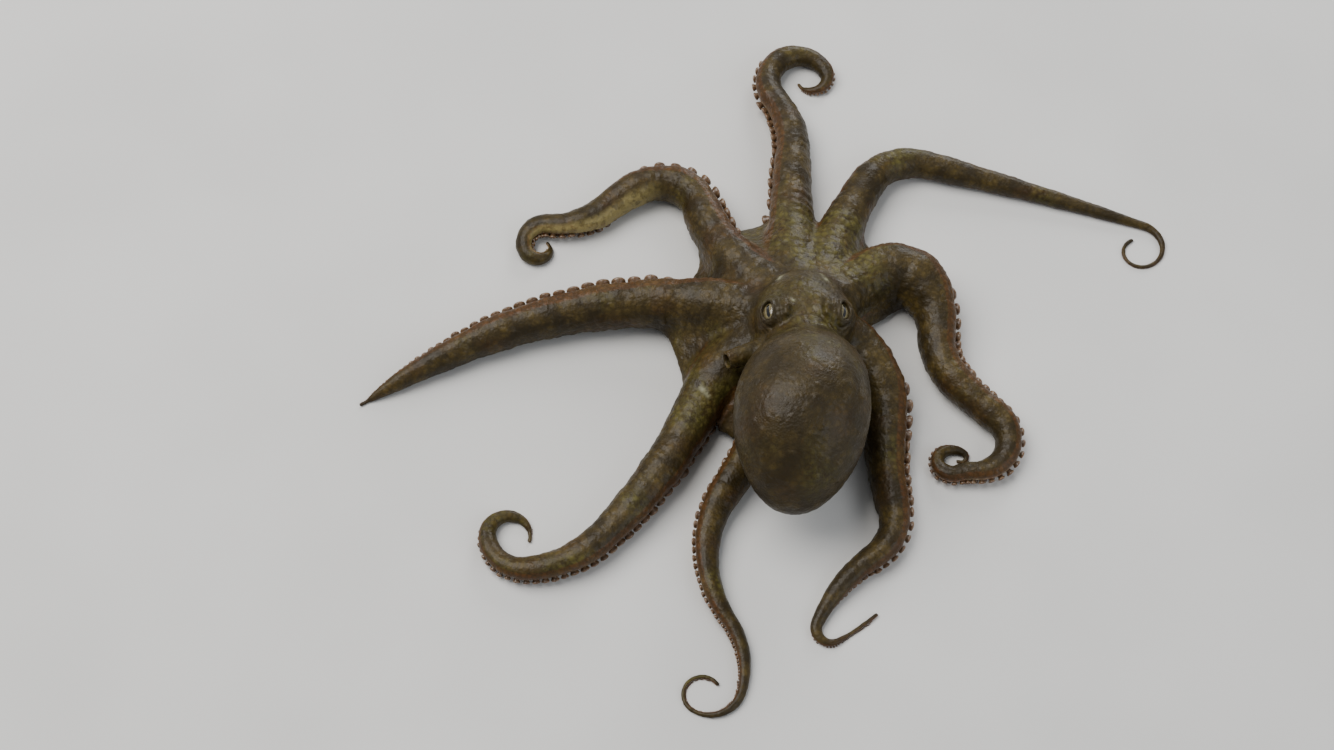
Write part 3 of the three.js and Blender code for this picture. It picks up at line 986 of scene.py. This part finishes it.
DEEP_BROWN = (0.023, 0.0158, 0.0055)
BROWN = (0.073, 0.050, 0.0135)
OLIVE = (0.096, 0.083, 0.018)
RUST = (0.098, 0.038, 0.011)
# painted light on one arm's lit side
LIT_FLANK_STRAW = (0.27, 0.22, 0.085)
FLECK = (0.30, 0.30, 0.20)
CREAM = (0.42, 0.34, 0.22)
ORAL_PINK = (0.38, 0.22, 0.145)
STALK_TONES = ((0.068, 0.036, 0.0155), (0.115, 0.065, 0.031))
RIM_TONES = ((0.100, 0.052, 0.022), (0.185, 0.110, 0.057))
CUP_BROWN = (0.085, 0.036, 0.018)
IRIS_TONES = ((0.085, 0.062, 0.025), (0.25, 0.215, 0.105))
IRIS_SPECK = (0.07, 0.04, 0.02)
IRIS_BORDER = (0.022, 0.015, 0.009)
PUPIL_BLACK = (0.004, 0.004, 0.005)
BEAK_TONES = ((0.015, 0.009, 0.006), (0.06, 0.03, 0.015))
FLOOR_TONES = ((0.60, 0.60, 0.59), (0.64, 0.64, 0.63))

MIX_A, MIX_B, MIX_RESULT = 6, 7, 2  # a mix node's colour sockets


class Nodes:
    """A short way to write a material's nodes. Sizes are in millimetres."""

    def __init__(self, name):
        self.material = bpy.data.materials.new(name)
        self.material.use_nodes = True
        self.tree = self.material.node_tree
        self.shader = self.tree.nodes["Principled BSDF"]
        self.position = self.make("ShaderNodeNewGeometry").outputs["Position"]

    def make(self, kind, **settings):
        node = self.tree.nodes.new(kind)
        for key, value in settings.items():
            setattr(node, key, value)
        return node

    def link(self, source, target):
        if hasattr(source, "is_linked"):
            self.tree.links.new(source, target)
        else:
            target.default_value = source

    def attribute(self, name):
        return self.make("ShaderNodeAttribute", attribute_name=name).outputs["Fac"]

    def texture(self, kind, size):
        node = self.make(kind)
        self.link(self.position, node.inputs["Vector"])
        node.inputs["Scale"].default_value = 1 / (size * MM)
        return node

    def noise(self, size, detail=3.0, roughness=0.6):
        node = self.texture("ShaderNodeTexNoise", size)
        node.inputs["Detail"].default_value = detail
        node.inputs["Roughness"].default_value = roughness
        return node.outputs["Fac"]

    def cells(self, size):
        return self.texture("ShaderNodeTexVoronoi", size).outputs["Distance"]

    def ramp(self, value, low, high, start=0.0, end=1.0):
        node = self.make("ShaderNodeMapRange", interpolation_type="SMOOTHSTEP")
        for socket, setting in zip(node.inputs, (value, low, high, start, end)):
            self.link(setting, socket)
        return node.outputs[0]

    def math(self, operation, a, b):
        node = self.make("ShaderNodeMath", operation=operation)
        self.link(a, node.inputs[0])
        self.link(b, node.inputs[1])
        return node.outputs[0]

    def mix(self, share, a, b):
        node = self.make("ShaderNodeMix", data_type="RGBA")
        self.link(share, node.inputs[0])
        self.link(a if hasattr(a, "is_linked") else (*a, 1), node.inputs[MIX_A])
        self.link(b if hasattr(b, "is_linked") else (*b, 1), node.inputs[MIX_B])
        return node.outputs[MIX_RESULT]

    def bump(self, height, distance, strength):
        node = self.make("ShaderNodeBump")
        node.inputs["Distance"].default_value = distance * MM
        node.inputs["Strength"].default_value = strength
        self.link(height, node.inputs["Height"])
        return node.outputs["Normal"]

    def set(self, **inputs):
        for name, value in inputs.items():
            self.link(value, self.shader.inputs[name.replace("_", " ")])


def chromatophores(nodes, colour):
    """Breaks a colour into the tiny dark and rusty points of octopus skin."""
    dots = nodes.ramp(nodes.cells(0.45), 0.15, 0.4, 1, 0)
    clumps = nodes.ramp(nodes.noise(2.4, 2), 0.36, 0.62, 0.15, 0.8)
    colour = nodes.mix(nodes.math("MULTIPLY", dots, clumps), colour, DEEP_BROWN)
    fine_dots = nodes.ramp(nodes.cells(0.25), 0.12, 0.34, 1, 0)
    fine_clumps = nodes.ramp(nodes.noise(1.3, 2), 0.48, 0.7, 0, 0.5)
    return nodes.mix(nodes.math("MULTIPLY", fine_dots, fine_clumps), colour, RUST)


def skin_material():
    """Mottled olive brown, and pink and cream on the sucker side."""
    nodes = Nodes("skin")

    def lay(colour, over, share, *strengths):
        """Lays another colour over one."""
        for strength in strengths:
            share = nodes.math("MULTIPLY", share, strength)
        return nodes.mix(share, colour, over)

    mottle = nodes.ramp(nodes.noise(4.5, 4, 0.65), 0.38, 0.64)
    patchy = nodes.ramp(nodes.noise(1.5, 3), 0.32, 0.6)
    colour = nodes.mix(mottle, DEEP_BROWN, BROWN)
    colour = lay(colour, OLIVE, nodes.attribute("olive"), patchy, 0.85)
    colour = lay(colour, RUST, nodes.attribute("rust"), 0.65)
    colour = lay(colour, DEEP_BROWN, nodes.attribute("dark"), 0.75)
    colour = chromatophores(nodes, colour)
    # Painted shade: darker in the grooves between the pebbles.
    colour = lay(colour, DEEP_BROWN, nodes.attribute("groove"), 0.55)
    colour = lay(colour, FLECK, nodes.attribute("fleck"), patchy, 0.6)
    oral = nodes.mix(mottle, ORAL_PINK, CREAM)
    colour = nodes.mix(nodes.attribute("oral"), colour, oral)
    # Painted light: a pale straw band along one arm's lit side.
    colour = lay(colour, LIT_FLANK_STRAW, nodes.attribute("lit_flank"), nodes.ramp(patchy, 0, 1, 0.35, 0.85))

    grain = nodes.math("ADD", nodes.cells(0.5), nodes.math("MULTIPLY", nodes.noise(0.3, 2), 0.6))
    roughness = nodes.ramp(patchy, 0, 1, 0.36, 0.5)
    nodes.set(
        Base_Color=colour, Normal=nodes.bump(grain, 0.12, 0.6), Roughness=roughness,
        Specular_IOR_Level=0.19, Coat_Weight=0.08, Coat_Roughness=0.14,
    )
    return nodes.material


def sucker_material():
    nodes = Nodes("sucker_skin")
    cup = nodes.attribute("cup")
    blotch = nodes.ramp(nodes.noise(0.8, 2), 0.35, 0.65)
    stalk = nodes.mix(blotch, *STALK_TONES)
    rim = nodes.mix(blotch, *RIM_TONES)
    colour = nodes.mix(nodes.ramp(cup, 0.15, 0.35), stalk, rim)
    colour = nodes.mix(nodes.ramp(cup, 0.5, 0.85), colour, CUP_BROWN)
    nodes.set(
        Base_Color=colour, Normal=nodes.bump(nodes.noise(0.25, 2), 0.05, 0.6),
        Roughness=0.36, Coat_Weight=0.25, Coat_Roughness=0.12,
        Subsurface_Weight=0.1, Subsurface_Scale=0.5 * MM,
    )
    return nodes.material


def eye_material():
    """A dull gold iris with fibres and a dark border, wet on top."""
    nodes = Nodes("eye")
    out = nodes.attribute("out")
    spread = nodes.make("ShaderNodeCombineXYZ")
    nodes.link(nodes.math("MULTIPLY", nodes.attribute("turn"), 9.0), spread.inputs[0])
    nodes.link(nodes.math("MULTIPLY", out, 2.5), spread.inputs[1])
    fibres = nodes.make("ShaderNodeTexNoise", noise_dimensions="2D")
    nodes.link(spread.outputs[0], fibres.inputs["Vector"])
    fibres.inputs["Scale"].default_value = 1.6
    streaks = nodes.ramp(fibres.outputs["Fac"], 0.35, 0.65)
    iris = nodes.mix(streaks, *IRIS_TONES)
    specks = nodes.ramp(nodes.cells(0.22), 0.15, 0.4, 0.6, 0)
    iris = nodes.mix(specks, iris, IRIS_SPECK)
    iris = nodes.mix(nodes.ramp(out, 0.40, 0.64), iris, IRIS_BORDER)
    colour = nodes.mix(nodes.ramp(nodes.attribute("pupil"), 0.3, 0.7), iris, PUPIL_BLACK)
    nodes.set(
        Base_Color=colour, Roughness=0.16, Coat_Weight=1.0, Coat_Roughness=0.03,
        Normal=nodes.bump(fibres.outputs["Fac"], 0.03, 0.3),
    )
    return nodes.material


def beak_material():
    nodes = Nodes("beak")
    grain = nodes.noise(0.6, 2)
    colour = nodes.mix(nodes.ramp(grain, 0.35, 0.65), *BEAK_TONES)
    nodes.set(Base_Color=colour, Roughness=0.25, Normal=nodes.bump(grain, 0.05, 0.4))
    return nodes.material


def floor_material():
    nodes = Nodes("floor")
    tone = nodes.mix(nodes.ramp(nodes.noise(60, 2), 0.3, 0.7), *FLOOR_TONES)
    nodes.set(Base_Color=tone, Roughness=0.7)
    return nodes.material


# ---- Setting, in metres ----

FLOOR_HALF = 3.0
LIGHTS = (  # name, place, size, power and colour
    ("key", (-0.45, 0.2, 0.85), 0.8, 13.0, (1.0, 0.97, 0.93)),
    ("fill", (0.8, -0.5, 0.6), 0.8, 4.5, (0.92, 0.96, 1.0)),
    ("rim", (0.3, 0.8, 0.4), 0.4, 4.0, (1.0, 1.0, 1.0)),
)
STUDIO_COLOUR = (0.95, 0.97, 1.0)
STUDIO_STRENGTH = 0.3


def build_floor():
    data = bpy.data.meshes.new("floor")
    signs = ((-1, -1), (1, -1), (1, 1), (-1, 1))
    corners = [(x * FLOOR_HALF, y * FLOOR_HALF, 0) for x, y in signs]
    data.from_pydata(corners, [], [(0, 1, 2, 3)])
    data.materials.append(floor_material())
    floor = add_object("floor", data)


def add_light(name, place, size, power, colour):
    """A square light that shines on the octopus."""
    light = bpy.data.lights.new(name, "AREA")
    light.energy = power
    light.size = size
    light.color = colour
    holder = add_object(name, light)
    holder.location = place
    holder.rotation_euler = (-Vector(place)).to_track_quat("-Z", "Y").to_euler()


def set_view():
    """The camera, looking down at the octopus from behind it."""
    elevation = math.radians(VIEW_ELEVATION)
    camera = add_object("camera", bpy.data.cameras.new("camera"))
    camera.data.lens = VIEW_LENS
    camera.data.clip_start = 0.01
    back = Vector((0, -math.cos(elevation), math.sin(elevation)))
    camera.location = (Vector(VIEW_TARGET) + back * VIEW_DISTANCE) * MM
    camera.rotation_euler = (math.pi / 2 - elevation, 0, 0)
    bpy.context.scene.camera = camera


def set_lights():
    """Soft light from three sides, in a pale surround."""
    for light in LIGHTS:
        add_light(*light)
    world = bpy.data.worlds.new("studio")
    world.use_nodes = True
    background = world.node_tree.nodes["Background"]
    background.inputs["Color"].default_value = (*STUDIO_COLOUR, 1)
    background.inputs["Strength"].default_value = STUDIO_STRENGTH
    bpy.context.scene.world = world


# ---- The model ----

set_view()
set_lights()
build_floor()

flesh = [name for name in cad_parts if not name.startswith("eye_")]
body = build_field()
skin = build_skin(body)
skin.data.materials.append(skin_material())
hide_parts(*flesh)
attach(skin, "root")

cups = sucker_material()
for limb_name, limb in LIMBS.items():
    suckers = build_suckers(limb_name, limb, body)
    suckers.data.materials.append(cups)
    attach(suckers, "root")

eye_look = eye_material()
for eye_side, eye_node in ((-1, "eye_left"), (1, "eye_right")):
    eyeball = build_eye(eye_side)
    eyeball.data.materials.append(eye_look)
    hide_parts(eye_node)
    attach(eyeball, "root")

beak = build_beak()
beak.data.materials.append(beak_material())
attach(beak, "root")
